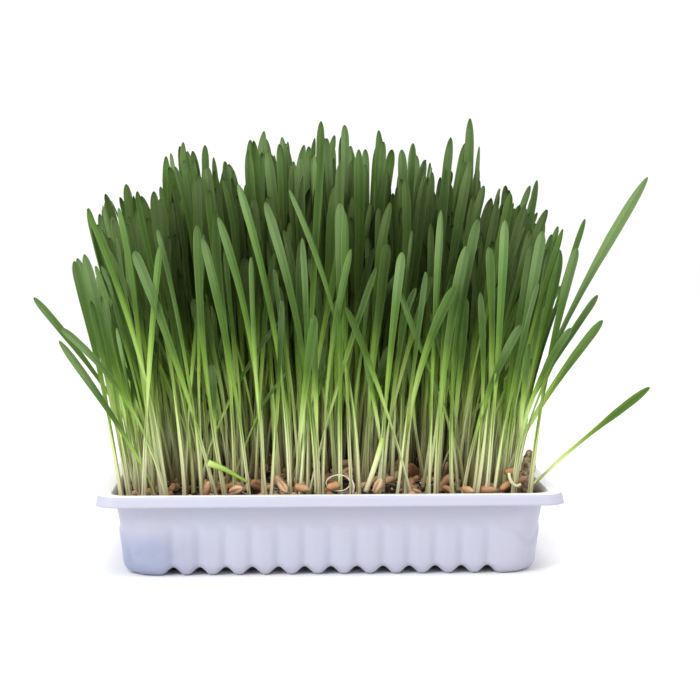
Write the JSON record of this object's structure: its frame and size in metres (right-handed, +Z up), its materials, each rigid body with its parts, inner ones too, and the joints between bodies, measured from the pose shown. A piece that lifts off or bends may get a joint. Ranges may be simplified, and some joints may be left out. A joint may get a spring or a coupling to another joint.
{
  "type": "wheatgrass tray",
  "caption": "Low rectangular plastic tray with ribbed walls, filled with soil and a dense stand of upright grass shoots that lean out at the ends.",
  "frame": {"origin": "on the surface the tray stands on, under the middle of the whole object", "axes": "+X along the tray's long side, +Y from its front to its back, +Z up"},
  "size_m": [0.301, 0.172, 0.2181],
  "materials": {
    "plastic": "thin pressed sheet, semi-gloss",
    "soil": "damp crumbly potting soil with loose grain",
    "shoots": "living leaf, pale at the stem and dark at the tip"
  },
  "bodies": {
    "root": {"tray": "plastic", "soil": "soil", "shoots_row1_column1": "shoots", "shoots_row1_column2": "shoots", "shoots_row1_column3": "shoots", "shoots_row1_column4": "shoots", "shoots_row1_column5": "shoots", "shoots_row1_column6": "shoots", "shoots_row2_column1": "shoots", "shoots_row2_column2": "shoots", "shoots_row2_column3": "shoots", "shoots_row2_column4": "shoots", "shoots_row2_column5": "shoots", "shoots_row2_column6": "shoots", "shoots_row3_column1": "shoots", "shoots_row3_column2": "shoots", "shoots_row3_column3": "shoots", "shoots_row3_column4": "shoots", "shoots_row3_column5": "shoots", "shoots_row3_column6": "shoots", "shoots_row4_column1": "shoots", "shoots_row4_column2": "shoots", "shoots_row4_column3": "shoots", "shoots_row4_column4": "shoots", "shoots_row4_column5": "shoots", "shoots_row4_column6": "shoots"}
  },
  "joints": []
}
